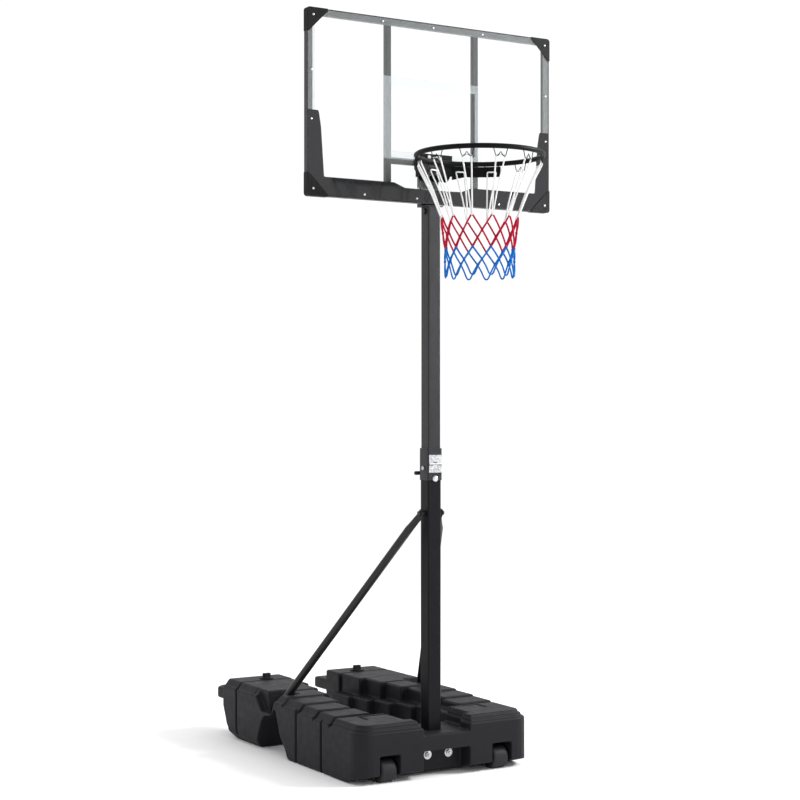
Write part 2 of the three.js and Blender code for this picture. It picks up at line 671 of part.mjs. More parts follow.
function memberHollow() {
  const back = FRAME_BACK - FRAME_WALL;
  const front = PANEL_BACK + GAP + FRAME_WALL;
  return [[FRAME_WALL, back], [FRAME_WALL, front], [FRAME - FRAME_WALL, front],
    [FRAME - FRAME_WALL, back]];
}

function framePieces() {
  const half = BOARD_W / 2;
  const low = (loop) => loop.map(([inset, y]) => [y, BOARD_FOOT + inset]);
  const high = (loop) => loop.map(([inset, y]) => [y, BOARD_TOP - inset]);
  const round = roundedRect(BOARD_W, BOARD_H, CORNER_R);
  const board = toSolid(slab(round, -FRAME, FRAME).rotateX(Math.PI / 2)
    .translate(0, BOARD_Y, BOARD_FOOT + BOARD_H / 2));
  for (const [label, turn] of [['bottom', low], ['top', high]]) {
    const member = toSolid(cheek(turn(memberSection()), -half, half, [turn(memberHollow())]));
    put(`frame_${label}`, toGeometry(member.intersect(board)), BLACK_STEEL);
  }
  const z0 = BOARD_FOOT + FRAME + GAP;
  const z1 = BOARD_TOP - FRAME - GAP;
  for (const [side, label] of [[-1, 'left'], [1, 'right']]) {
    const upright = (loop) => loop.map(([inset, y]) => [side * (half - inset), y]);
    put(`frame_${label}`, slab(upright(memberSection()), z0, z1, 0, [upright(memberHollow())]),
      BLACK_STEEL);
    const bar = boxTube(FRAME, BAR_DEPTH, FRAME_WALL, 3, z0, z1);
    put(`rear_bar_${label}`, bar.translate(side * BAR_X, BAR_Y, 0), BLACK_STEEL);
  }
  const reach = BAR_X - FRAME / 2 - GAP;
  const cross = boxTube(FRAME, BAR_DEPTH, FRAME_WALL, 3, -reach, reach).rotateY(Math.PI / 2);
  put('rear_cross_tube', cross.translate(0, BAR_Y, CROSS_Z), BLACK_STEEL);
}

// moulded guard over one corner of the frame, drawn for the upper right corner
function cornerGuard(sx, sz) {
  const half = BOARD_W / 2;
  const tall = BOARD_H / 2;
  const leg = 88;
  const r = CORNER_R;
  const face = [[half - leg, tall + GUARD_SIDE], [half - leg, tall - 8], [half - 8, tall - leg],
    [half + GUARD_SIDE, tall - leg]];
  for (let i = 0; i <= 4; i += 1) {
    const angle = i / 4 * Math.PI / 2;
    face.push([half + GUARD_SIDE - r + r * Math.cos(angle),
      tall + GUARD_SIDE - r + r * Math.sin(angle)]);
  }
  const front = toSolid(plate(face, BOARD_FRONT - GUARD_FRONT - GAP, FRAME_BACK));
  const corner = slab(roundedRect(BOARD_W + 2 * GAP, BOARD_H + 2 * GAP, r - 1),
    -FRAME_BACK - 9, GAP - BOARD_FRONT).rotateX(Math.PI / 2);
  let solid = front.subtract(toSolid(corner));
  if (sx < 0) solid = solid.mirror([1, 0, 0]);
  if (sz < 0) solid = solid.mirror([0, 0, 1]);
  return toGeometry(solid);
}

// hat bracket: two cheeks and a rear web on a sole that sits on the pole's top, with
// a sleeve down inside the pole
function boardBracket() {
  const foot = UPPER_TOP + GAP;
  const behind = FRAME_BACK + GAP;
  const side = [[-UPPER / 2, foot], [BRACKET_BACK, foot], [BRACKET_BACK, BRACKET_TOP - 14],
    [BRACKET_BACK - 10, BRACKET_TOP], [behind, BRACKET_TOP], [behind, foot + SOLE_T],
    [-UPPER / 2, foot + SOLE_T]];
  const plug = UPPER - 2 * UPPER_WALL - 2 * GAP;
  const solids = [
    toSolid(cheek(side, -BRACKET_HALF, -BRACKET_HALF + SHEET)),
    toSolid(cheek(side, BRACKET_HALF - SHEET, BRACKET_HALF)),
    toSolid(box(-BRACKET_HALF, BRACKET_HALF, BRACKET_BACK - SHEET, BRACKET_BACK,
      foot, BRACKET_TOP - 14)),
    toSolid(box(-BRACKET_HALF, BRACKET_HALF, -UPPER / 2, BRACKET_BACK, foot, foot + SOLE_T)),
    toSolid(squareTube(plug, SHEET, 3.5, SLEEVE_FOOT, foot + 1)),
  ];
  const tools = [
    toSolid(rod('x', BOLT_R + GAP, 120, [-60, TIE_Y, TIE_Z], 16)),
    toSolid(rod('x', BOLT_R + GAP, 120, [-60, 0, POLE_BOLT_Z], 16)),
  ];
  for (const [x, z] of rimBoltPlaces()) {
    tools.push(toSolid(rod('y', RIM_BOLT_R + GAP, 30, [x, BRACKET_BACK - 15, z], 14)));
  }
  return toGeometry(cut(join(solids), tools));
}

// a bolt along X right through, with a head on the left and a nut on the right
function throughBolt(half, radius, headR, headH, sides) {
  return toGeometry(join([
    toSolid(rod('x', radius, 2 * half + headH + 6, [-half - headH / 2, 0, 0], 14)),
    toSolid(rod('x', headR, headH, [-half - headH, 0, 0], sides)),
    toSolid(rod('x', headR * 0.8, headH, [half, 0, 0], 6)),
  ]));
}

function upperPole() {
  const tube = toSolid(squareTube(UPPER, UPPER_WALL, 5, UPPER_FOOT, UPPER_TOP));
  return toGeometry(cut(tube, [
    toSolid(rod('x', BOLT_R + GAP, UPPER + 10, [-UPPER / 2 - 5, 0, POLE_BOLT_Z], 16)),
  ]));
}

function boardAssembly() {
  put('upper_pole', upperPole(), BLACK_STEEL);
  const plug = UPPER - 2 * UPPER_WALL - 2 * GAP;
  put('upper_pole_plug', slab(roundedRect(plug, plug, 3, 2), UPPER_FOOT + 2, UPPER_FOOT + 20),
    BLACK_PLASTIC);
  put('board_panel', panel(), CLEAR);
  framePieces();
  const middle = BOARD_FOOT + BOARD_H / 2;
  for (const [sx, sz, label] of [[-1, 1, 'upper_left'], [1, 1, 'upper_right'],
    [-1, -1, 'lower_left'], [1, -1, 'lower_right']]) {
    put(`corner_guard_${label}`, cornerGuard(sx, sz), BLACK_PLASTIC).position.set(0, 0, middle);
  }
  put('board_bracket', boardBracket(), BLACK_STEEL);
  put('bracket_tie_bolt', throughBolt(BRACKET_HALF + GAP, BOLT_R, 9, 5, 6), ZINC)
    .position.set(0, TIE_Y, TIE_Z);
  put('pole_top_bolt', throughBolt(UPPER / 2 + GAP, BOLT_R, 12, 7, 18), BLACK_STEEL)
    .position.set(0, 0, POLE_BOLT_Z);
}

// ---------------------------------------------------------------- rim and net

// double hook: a wire under the rim that dips twice
function hookWire(index) {
  const centre = (index + HOOK_PHASE) / HOOKS * 2 * Math.PI;
  const radius = RIM_BORE_R + RIM_ROD;
  const span = HOOK_HALF / radius;
  const stops = [[-1, -5], [-0.85, -18], [-0.6, -38], [-0.3, -34], [0, -20], [0.3, -34],
    [0.6, -38], [0.85, -18], [1, -5]];
  const points = stops.map(([share, drop]) => {
    const angle = centre + share * span;
    return [radius * Math.cos(angle), radius * Math.sin(angle), drop];
  });
  return toSolid(wire(points, HOOK_R, 5, 14));
}

function rimRing() {
  const ring = new THREE.TorusGeometry(RIM_BORE_R + RIM_ROD, RIM_ROD, 10, 56);
  const solids = [toSolid(ring)];
  for (let i = 0; i < HOOKS; i += 1) solids.push(hookWire(i));
  return toGeometry(join(solids));
}

// curved band under the rear of the rim with a shelf back to the mounting plate
function rimApron() {
  const middle = RIM_BORE_R + RIM_ROD;
  const arc = (radius, flip) => {
    const points = [];
    for (let i = 0; i <= 12; i += 1) {
      const angle = Math.PI / 2 + (flip ? -1 : 1) * (i / 6 - 1) * APRON_SPREAD;
      points.push([radius * Math.cos(angle), radius * Math.sin(angle) - RIM_REACH]);
    }
    return points;
  };
  const back = BOARD_FRONT - PLATE_T - 2 * GAP;
  const start = -RIM_REACH + APRON_BACK;
  const top = RIM_Z - RIM_ROD - GAP;
  const band = [...arc(middle + 9, false), ...arc(middle + 6, true)];
  const shelf = [[-PLATE_HALF, back], ...arc(middle + 4, true), [PLATE_HALF, back]];
  return toGeometry(join([
    toSolid(slab(band, APRON_FOOT, top - 1)),
    toSolid(slab(shelf, top - SHEET, top)),
    toSolid(box(-PLATE_HALF, -PLATE_HALF + SHEET, start, back, APRON_FOOT, top - 1)),
    toSolid(box(PLATE_HALF - SHEET, PLATE_HALF, start, back, APRON_FOOT, top - 1)),
  ]));
}

function rimPlate() {
  const points = [[-PLATE_HALF + 22, PLATE_FOOT], [PLATE_HALF - 22, PLATE_FOOT],
    [PLATE_HALF, PLATE_FOOT + 40], [PLATE_HALF, PLATE_TOP], [-PLATE_HALF, PLATE_TOP],
    [-PLATE_HALF, PLATE_FOOT + 40]];
  const front = BOARD_FRONT - PLATE_T - GAP;
  const body = toSolid(plate(points, front, BOARD_FRONT - GAP));
  const tools = rimBoltPlaces().map(([x, z]) =>
    toSolid(rod('y', RIM_BOLT_R + GAP, PLATE_T + 10, [x, front - 5, z], 14)));
  return toGeometry(cut(body, tools));
}

function rimBolt() {
  const front = BOARD_FRONT - PLATE_T - 2 * GAP;
  const back = BRACKET_BACK + GAP;
  return toGeometry(join([
    toSolid(rod('y', 8, 5, [0, front - 5, 0], 6)),
    toSolid(rod('y', RIM_BOLT_R, back + 10 - front + 2, [0, front - 2, 0], 14)),
    toSolid(rod('y', 8, 6, [0, back, 0], 6)),
  ]));
}

// net: an open tapering sleeve of the net's outer shape
function net() {
  const stops = [[222, -54], [196, -120], [168, -182], [150, -234], [138, -300], [133, -360],
    [132, -420], [134, NET_FOOT - RIM_Z]];
  const outer = stops.map(([r, drop]) => new THREE.Vector2(r, drop));
  const inner = stops.map(([r, drop]) => new THREE.Vector2(r - 5, drop)).reverse();
  const points = [...outer, ...inner];
  points.push(points[0].clone());
  return new THREE.LatheGeometry(points.reverse(), 24).rotateX(Math.PI / 2);
}

function rimAssembly() {
  put('rim_ring', rimRing(), BLACK_STEEL).position.set(0, -RIM_REACH, RIM_Z);
  put('rim_apron', rimApron(), BLACK_STEEL);
  put('rim_mount_plate', rimPlate(), BLACK_STEEL);
  rimBoltPlaces().forEach(([x, z], i) => {
    put(`rim_bolt_${i + 1}`, rimBolt(), ZINC).position.set(x, 0, z);
  });
  put('net', net(), NET_CORD).position.set(0, -RIM_REACH, RIM_Z);
}

baseAssembly();
poleAssembly();
collarAssembly();
boardAssembly();
rimAssembly();
hoop.position.set(0, -CENTRE_Y, 0);

export default hoop;
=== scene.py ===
"""Looks of the portable basketball hoop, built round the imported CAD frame.
Metres, +Z up, the rim faces -Y. Pieces made here ride on the CAD bodies."""

import json
import math

import bpy
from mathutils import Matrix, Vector


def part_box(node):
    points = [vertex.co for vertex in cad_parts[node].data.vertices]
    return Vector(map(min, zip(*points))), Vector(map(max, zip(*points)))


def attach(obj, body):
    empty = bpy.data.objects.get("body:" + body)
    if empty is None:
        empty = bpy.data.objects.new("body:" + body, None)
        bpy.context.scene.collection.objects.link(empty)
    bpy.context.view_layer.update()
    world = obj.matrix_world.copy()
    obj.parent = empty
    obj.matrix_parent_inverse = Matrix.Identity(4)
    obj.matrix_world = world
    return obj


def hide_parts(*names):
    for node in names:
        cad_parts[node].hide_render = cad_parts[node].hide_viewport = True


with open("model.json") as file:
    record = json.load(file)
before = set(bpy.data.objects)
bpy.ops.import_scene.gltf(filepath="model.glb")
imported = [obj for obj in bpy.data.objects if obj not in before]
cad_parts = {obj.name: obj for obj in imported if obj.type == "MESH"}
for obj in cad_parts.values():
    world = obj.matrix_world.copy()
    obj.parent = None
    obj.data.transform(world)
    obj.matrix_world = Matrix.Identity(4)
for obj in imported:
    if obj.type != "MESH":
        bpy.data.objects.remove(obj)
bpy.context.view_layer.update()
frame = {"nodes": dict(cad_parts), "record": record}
NODES = frame["nodes"]

# ------------------------------------------------------------ places from the frame

RIM_LOW, RIM_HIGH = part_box("rim_ring")
RIM_Y = (RIM_LOW.y + RIM_HIGH.y) / 2
PANEL_LOW, PANEL_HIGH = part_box("board_panel")
NET_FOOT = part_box("net")[0].z

# ------------------------------------------------------------ material building blocks


def new_material(name):
    """A material with its Principled shader."""
    material = bpy.data.materials.new(name)
    material.use_nodes = True
    tree = material.node_tree
    return material, tree, tree.nodes["Principled BSDF"]


def coordinates(tree, stretch=(1, 1, 1)):
    """The piece's own coordinates, in metres, stretched along each axis."""
    source = tree.nodes.new("ShaderNodeTexCoord")
    mapping = tree.nodes.new("ShaderNodeMapping")
    mapping.inputs["Scale"].default_value = stretch
    tree.links.new(source.outputs["Object"], mapping.inputs["Vector"])
    return mapping.outputs["Vector"]


def noise(tree, scale, detail=3.0, roughness=0.55, stretch=(1, 1, 1), distortion=0.0):
    """A noise value between 0 and 1."""
    node = tree.nodes.new("ShaderNodeTexNoise")
    node.inputs["Scale"].default_value = scale
    node.inputs["Detail"].default_value = detail
    node.inputs["Roughness"].default_value = roughness
    node.inputs["Distortion"].default_value = distortion
    tree.links.new(coordinates(tree, stretch), node.inputs["Vector"])
    return node.outputs["Fac"]


def spread(tree, value, low, high, to_low=0.0, to_high=1.0):
    """A value taken from one range to another, and held inside it."""
    node = tree.nodes.new("ShaderNodeMapRange")
    limits = {"From Min": low, "From Max": high, "To Min": to_low, "To Max": to_high}
    for name, number in limits.items():
        node.inputs[name].default_value = number
    tree.links.new(value, node.inputs["Value"])
    return node.outputs["Result"]


def cloudy(tree, scale, low=0.0, high=1.0):
    """A soft noise stretched over its usual range, from low to high."""
    return spread(tree, noise(tree, scale, 4), 0.3, 0.7, low, high)


def colours(tree, value, first, second):
    """A colour between two colours."""
    node = tree.nodes.new("ShaderNodeMix")
    node.data_type = "RGBA"
    sides = [s for s in node.inputs if s.type == "RGBA"]
    for side, colour in zip(sides, (first, second)):
        if isinstance(colour, bpy.types.NodeSocket):
            tree.links.new(colour, side)
        else:
            side.default_value = (*colour, 1)
    tree.links.new(value, node.inputs["Factor"])
    return next(s for s in node.outputs if s.type == "RGBA")


def sum_of(tree, first, second, share):
    """first plus share times second."""
    node = tree.nodes.new("ShaderNodeMath")
    node.operation = "MULTIPLY_ADD"
    node.inputs[1].default_value = share
    tree.links.new(second, node.inputs[0])
    tree.links.new(first, node.inputs[2])
    return node.outputs[0]


def let_through(tree, shader, cover, tint=(1, 1, 1)):
    """Shows the shader by the share cover, and what is behind it by the rest."""
    see = tree.nodes.new("ShaderNodeBsdfTransparent")
    see.inputs["Color"].default_value = (*tint, 1)
    mix = tree.nodes.new("ShaderNodeMixShader")
    tree.links.new(cover, mix.inputs[0])
    tree.links.new(see.outputs[0], mix.inputs[1])
    tree.links.new(shader.outputs[0], mix.inputs[2])
    tree.links.new(mix.outputs[0], tree.nodes["Material Output"].inputs["Surface"])


def bump(tree, shader, height, depth, strength=1.0):
    """Relief of the given depth in metres on the shader's normal."""
    node = tree.nodes.new("ShaderNodeBump")
    node.inputs["Strength"].default_value = strength
    node.inputs["Distance"].default_value = depth
    tree.links.new(height, node.inputs["Height"])
    tree.links.new(node.outputs["Normal"], shader.inputs["Normal"])


# ------------------------------------------------------------ materials


def moulded_plastic(name, dark, pale, grain=700, depth=0.00012):
    """Black polyethylene: fine moulded grain, cloudy tone and faint handling marks."""
    material, tree, shader = new_material(name)
    marks = spread(tree, noise(tree, 55, 6, 0.7, (1, 1, 0.25)), 0.6, 0.78)
    tone = colours(tree, cloudy(tree, 9), dark, pale)
    scuff = [c * 2.1 for c in pale]
    scuffed = colours(tree, spread(tree, marks, 0, 1, 0, 0.35), tone, scuff)
    tree.links.new(scuffed, shader.inputs["Base Color"])
    grainy = sum_of(tree, noise(tree, grain, 2), noise(tree, grain / 6, 2), 0.4)
    bump(tree, shader, grainy, depth)
    roughness = sum_of(tree, cloudy(tree, 28, 0.46, 0.58), marks, 0.08)
    tree.links.new(roughness, shader.inputs["Roughness"])
    shader.inputs["Specular IOR Level"].default_value = 0.11
    return material


def powder_coat(name, colour, rough=(0.3, 0.42), depth=0.00006, gloss=0.3):
    """Black powder coat on steel: orange peel, small changes of gloss and tone."""
    material, tree, shader = new_material(name)
    tone = colours(tree, cloudy(tree, 14), colour, [c * 1.35 for c in colour])
    specks = spread(tree, noise(tree, 420, 2), 0.7, 0.78, 0, 0.3)
    speckled = colours(tree, specks, tone, [c * 2.4 for c in colour])
    tree.links.new(speckled, shader.inputs["Base Color"])
    peel = sum_of(tree, noise(tree, 620, 2), noise(tree, 130, 2), 0.5)
    bump(tree, shader, peel, depth)
    tree.links.new(cloudy(tree, 40, *rough), shader.inputs["Roughness"])
    shader.inputs["Specular IOR Level"].default_value = gloss
    return material


def zinc_plate(name):
    """Bright zinc plate: cool tone, fine draw lines and a few dull patches."""
    material, tree, shader = new_material(name)
    patch = spread(tree, noise(tree, 70, 4), 0.35, 0.7)
    tone = colours(tree, patch, (0.58, 0.585, 0.60), (0.40, 0.41, 0.43))
    tree.links.new(tone, shader.inputs["Base Color"])
    shader.inputs["Metallic"].default_value = 1.0
    tree.links.new(cloudy(tree, 160, 0.2, 0.42), shader.inputs["Roughness"])
    bump(tree, shader, noise(tree, 900, 2, 0.5, (1, 1, 0.15)), 0.00003)
    return material


def clear_sheet(name):
    """Clear impact-resistant sheet: nearly all see-through, with a gloss that grows at
    grazing angles, a faint green cast and fine wipe marks."""
    material, tree, shader = new_material(name)
    shader.inputs["Base Color"].default_value = (0.80, 0.83, 0.825, 1)
    wiped = spread(tree, noise(tree, 60, 5, 0.7, (1, 1, 0.3)), 0.35, 0.75, 0.03, 0.12)
    tree.links.new(wiped, shader.inputs["Roughness"])
    facing = tree.nodes.new("ShaderNodeLayerWeight")
    facing.inputs["Blend"].default_value = 0.5
    grazing = tree.nodes.new("ShaderNodeMath")
    grazing.operation = "POWER"
    grazing.inputs[1].default_value = 5.0
    tree.links.new(facing.outputs["Facing"], grazing.inputs[0])
    cover = spread(tree, grazing.outputs[0], 0, 1, 0.04, 0.85)
    let_through(tree, shader, cover, (0.99, 0.998, 0.996))
    return material


def ink(name, colour, cover, rough=(0.28, 0.4)):
    """Screen-printed ink on the clear sheet, with a slightly uneven lay."""
    material, tree, shader = new_material(name)
    tone = colours(tree, cloudy(tree, 24), colour, [c * 1.04 for c in colour])
    tree.links.new(tone, shader.inputs["Base Color"])
    tree.links.new(cloudy(tree, 90, *rough), shader.inputs["Roughness"])
    bump(tree, shader, noise(tree, 500, 2), 0.00002)
    if cover < 1:
        let_through(tree, shader, cloudy(tree, 30, cover - 0.012, cover + 0.012))
    return material


def braided_cord(name, colour):
    """Braided nylon: two sets of crossing strands round the cord, with painted shade in the grooves
    between them and a soft sheen.
    """
    material, tree, shader = new_material(name)
    source = tree.nodes.new("ShaderNodeUVMap")
    source.uv_map = "along"
    height = None
    for lean in (1, -1):
        mapping = tree.nodes.new("ShaderNodeMapping")
        mapping.inputs["Rotation"].default_value = (0, 0, lean * math.radians(45))
        tree.links.new(source.outputs[0], mapping.inputs["Vector"])
        wave = tree.nodes.new("ShaderNodeTexWave")
        wave.inputs["Scale"].default_value = 1.3
        wave.inputs["Distortion"].default_value = 0.4
        tree.links.new(mapping.outputs[0], wave.inputs["Vector"])
        value = wave.outputs["Fac"]
        height = value if height is None else sum_of(tree, height, value, 1.0)
    # Painted shade: the colour drops to 72 percent in the grooves between the strands.
    painted_groove_shade = spread(tree, height, 0.2, 1.6)
    tone = colours(tree, painted_groove_shade, [c * 0.72 for c in colour], colour)
    worn = colours(tree, spread(tree, noise(tree, 35, 4), 0.45, 0.8, 0, 0.25), tone,
                   [min(1, c * 1.15) for c in colour])
    tree.links.new(worn, shader.inputs["Base Color"])
    bump(tree, shader, height, 0.0004, 0.7)
    shader.inputs["Roughness"].default_value = 0.68
    shader.inputs["Specular IOR Level"].default_value = 0.15
    return material


def studio_floor(name):
    """Matt white floor with a barely visible mottle."""
    material, tree, shader = new_material(name)
    tone = colours(tree, noise(tree, 2, 3), (0.972, 0.972, 0.974), (0.985, 0.985, 0.985))
    tree.links.new(tone, shader.inputs["Base Color"])
    shader.inputs["Roughness"].default_value = 0.75
    shader.inputs["Specular IOR Level"].default_value = 0.1
    return material


TANK = moulded_plastic("tank_plastic", (0.0105, 0.0100, 0.0125), (0.0114, 0.0109, 0.0136))
CAP = moulded_plastic("cap_plastic", (0.009, 0.009, 0.010), (0.012, 0.012, 0.013), 900, 0.00008)
GUARD = moulded_plastic("guard_plastic", (0.005, 0.005, 0.0056), (0.0065, 0.0065, 0.0072), 900, 0.00008)
WHEEL = moulded_plastic("wheel_plastic", (0.018, 0.018, 0.0205), (0.024, 0.024, 0.027), 800, 0.0001)
COAT = powder_coat("powder_coat", (0.0095, 0.0095, 0.0108))
# Painted shade: the lower pole gets a darker, less glossy copy of the powder coat, standing in for the
# lesser light that reaches it.
SHADED_LOWER_COAT = powder_coat("powder_coat_lower_painted_shade", (0.0042, 0.0042, 0.0052), gloss=0.1)
FRAME_COAT = powder_coat("frame_coat", (0.011, 0.011, 0.0125))
RIM_COAT = powder_coat("rim_coat", (0.003, 0.003, 0.0036), (0.4, 0.5), 0.00005, 0.08)
ZINC = zinc_plate("zinc")
CLEAR = clear_sheet("clear_panel")
DARK_INK = ink("dark_ink", (0.012, 0.0122, 0.0135), 1.0, (0.06, 0.1))
PALE_INK = ink("pale_ink", (0.50, 0.545, 0.555), 0.24)
BORDER_INK = ink("border_ink", (0.34, 0.365, 0.37), 0.17)
WHITE_CORD = braided_cord("white_cord", (0.86, 0.86, 0.86))
RED_CORD = braided_cord("red_cord", (0.42, 0.0, 0.03))
BLUE_CORD = braided_cord("blue_cord", (0.0, 0.14, 0.50))

SLOT_LOOK = {
    "tank_plastic": TANK,
    "cap_plastic": CAP,
    "guard_plastic": GUARD,
    "wheel_plastic": WHEEL,
    "powder_coat": COAT,
    "frame_coat": FRAME_COAT,
    "rim_coat": RIM_COAT,
    "zinc": ZINC,
    "clear_panel": CLEAR,
    "net_cord": WHITE_CORD,
}

# ------------------------------------------------------------ mesh building blocks


def new_piece(name, points, faces, material, body):
    """A mesh piece in the row frame that rides on a body."""
    mesh = bpy.data.meshes.new(name)
    mesh.from_pydata([tuple(p) for p in points], [], faces)
    mesh.update()
    piece = bpy.data.objects.new(name, mesh)
    bpy.context.scene.collection.objects.link(piece)
    mesh.materials.append(material)
    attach(piece, body)
    return piece


def smooth(piece):
    """Shades the whole piece smoothly."""
    piece.data.polygons.foreach_set("use_smooth", [True] * len(piece.data.polygons))


def add_bevel(piece, width, segments=2, angle=35):
    """Rounds the sharp edges, so that they catch the light as real ones do."""
    bevel = piece.modifiers.new("edges", "BEVEL")
    bevel.width = width
    bevel.segments = segments
    bevel.limit_method = "ANGLE"
    bevel.angle_limit = math.radians(angle)
    bevel.use_clamp_overlap = False
    bevel.miter_outer = "MITER_ARC"
    normals = piece.modifiers.new("normals", "WEIGHTED_NORMAL")
    normals.keep_sharp = False
    normals.weight = 60


def thin_print(name, outline, y, thickness, material, body):
    """A closed outline in X and Z laid on the sheet as a thin layer towards -Y."""
    count = len(outline)
    points = [(x, y, z) for x, z in outline] + [(x, y - thickness, z) for x, z in outline]
    area = sum(a[0] * b[1] - b[0] * a[1] for a, b in zip(outline, outline[1:] + outline[:1]))
    back, front = list(range(count)), list(range(count, 2 * count))
    faces = [back[::-1], front] if area > 0 else [back, front[::-1]]
    for i in range(count):
        j = (i + 1) % count
        faces.append((i, j, count + j, count + i) if area > 0 else (j, i, count + i, count + j))
    return new_piece(name, points, faces, material, body)


def lathe(profile, sides):
    """Points and faces of a profile (radius, height) turned about Z, capped at both ends."""
    points, faces = [], []
    for r, h in profile:
        for i in range(sides):
            angle = i / sides * 2 * math.pi
            points.append((r * math.cos(angle), r * math.sin(angle), h))
    for k in range(len(profile) - 1):
        for i in range(sides):
            j = (i + 1) % sides
            faces.append((k * sides + i, k * sides + j, (k + 1) * sides + j, (k + 1) * sides + i))
    faces.append(tuple(range(sides))[::-1])
    faces.append(tuple((len(profile) - 1) * sides + i for i in range(sides)))
    return points, faces


def curve_points(stops, steps):
    """A smooth line through the stops."""
    stops = [Vector(s) for s in stops]
    padded = [stops[0] * 2 - stops[1], *stops, stops[-1] * 2 - stops[-2]]
    line = []
    for i in range(1, len(padded) - 2):
        a, b, c, d = padded[i - 1:i + 3]
        for k in range(steps):
            t = k / steps
            line.append(0.5 * ((2 * b) + (c - a) * t + (2 * a - 5 * b + 4 * c - d) * t ** 2
                               + (3 * b - a - 3 * c + d) * t ** 3))
    line.append(stops[-1])
    return line


class Tubes:
    """Round cords gathered into one mesh, with a UV map that runs along them."""

    def __init__(self):
        self.points, self.faces, self.places = [], [], []

    def add(self, line, radius, sides=8):
        start, along = len(self.points), 0.0
        side = None
        for i, p in enumerate(line):
            forward = (line[min(i + 1, len(line) - 1)] - line[max(i - 1, 0)]).normalized()
            if side is None:
                side = forward.orthogonal().normalized()
            side = (side - forward * side.dot(forward)).normalized()
            other = forward.cross(side)
            along += (p - line[i - 1]).length if i else 0.0
            for k in range(sides):
                angle = k / sides * 2 * math.pi
                self.points.append(p + (side * math.cos(angle) + other * math.sin(angle)) * radius)
                self.places.append((along / (2 * radius), k / sides * 3))
        for i in range(len(line) - 1):
            for k in range(sides):
                j = (k + 1) % sides
                a, b = start + i * sides, start + (i + 1) * sides
                self.faces.append((a + k, a + j, b + j, b + k))
        last = start + (len(line) - 1) * sides
        self.faces.append(tuple(start + k for k in range(sides))[::-1])
        self.faces.append(tuple(last + k for k in range(sides)))

    def knot(self, centre, radius, outward):
        """A wrapped knot: a short fat bead with a wound waist."""
        up = Vector((0, 0, 1))
        across = up.cross(outward).normalized()
        turns = []
        for k in range(21):
            angle = k / 20 * 2 * math.pi * 2
            rise = (k / 20 - 0.5) * radius * 1.5
            turns.append(centre + across * (math.cos(angle) * radius * 0.55)
                         + outward * (math.sin(angle) * radius * 0.55) + up * rise)
        self.add(turns, radius * 0.55, 6)

    def piece(self, name, material, body, slot):
        made = new_piece(name, self.points, self.faces, material, body)
        layer = made.data.uv_layers.new(name="along")
        for loop in made.data.loops:
            layer.data[loop.index].uv = self.places[loop.vertex_index]
        smooth(made)
        return made


# ------------------------------------------------------------ CAD nodes


def dress_nodes():
    """Gives each CAD node its material, merges its doubled points and its flat faces."""
    slots = {s["node"]: s["material_slot"] for s in frame["record"]["subparts"]}
    for name, node in NODES.items():
        node.data.materials.clear()
        # The lower pole takes the darker copy of the coat, which is painted shade.
        look = SHADED_LOWER_COAT if name == "lower_pole" else SLOT_LOOK[slots[name]]
        node.data.materials.append(look)
        if "custom_normal" in node.data.attributes:
            node.data.attributes.remove(node.data.attributes["custom_normal"])
        smooth(node)
        weld = node.modifiers.new("weld", "WELD")
        weld.merge_threshold = 0.00001
        flat = node.modifiers.new("flat", "DECIMATE")
        flat.decimate_type = "DISSOLVE"
        flat.angle_limit = math.radians(0.5)


# The edge's rounding in metres, by the start of the node's name.
EDGE = {
    "lower_pole": 0.0004,
    "upper_pole": 0.0004,
    "collar": 0.0006,
    "board_bracket": 0.0007,
    "rim_mount_plate": 0.0008,
    "rim_apron": 0.0006,
    "strut": 0.0008,
    "latch_upper_leaf": 0.0005,
    "latch_lower_leaf": 0.0005,
    "latch_screw": 0.0002,
    "clamp_handle": 0.0006,
    "corner_guard": 0.0012,
    "frame_": 0.0008,
    "rear_": 0.0006,
    "rim_bolt": 0.0006,
    "strut_top_bolt": 0.0007,
    "strut_foot_bolt": 0.0007,
    "collar_side_bolt": 0.0006,
    "collar_front_bolt": 0.0005,
    "anchor_bolt": 0.0006,
    "bracket_tie_bolt": 0.0006,
    "pole_top_bolt": 0.0008,
    "fill_cap": 0.0012,
    "wheel": 0.001,
    "board_panel": 0.0004,
    "axle": 0.0006,
    "pole_foot_plug": 0.0008,
    "upper_pole_plug": 0.0008,
}


def round_edges():
    """Rounds each node's edges by the longest matching name in EDGE."""
    for name, node in NODES.items():
        starts = [key for key in EDGE if name.startswith(key)]
        if starts:
            add_bevel(node, EDGE[max(starts, key=len)])


TANK_VOXEL = 0.0036


def soften_tank():
    """The blow-moulded tank has no sharp edge: a fine remesh, relaxed a little."""
    tank = NODES["base_tank"]
    remesh = tank.modifiers.new("skin", "REMESH")
    remesh.mode = "VOXEL"
    remesh.voxel_size = TANK_VOXEL
    remesh.use_smooth_shade = True
    relax = tank.modifiers.new("relax", "SMOOTH")
    relax.factor = 0.5
    relax.iterations = 3


# ------------------------------------------------------------ prints on the board


PRINT = 0.0003
CORNER_TOP = 2.545
BORDER_FOOT = 2.5455


def mirrored(outline, side):
    """The outline, or its mirror image where side is -1."""
    return [(side * x, z) for x, z in outline]


def rectangle(x_low, z_low, x_high, z_high):
    """A rectangular outline in X and Z."""
    return [(x_low, z_low), (x_high, z_low), (x_high, z_high), (x_low, z_high)]


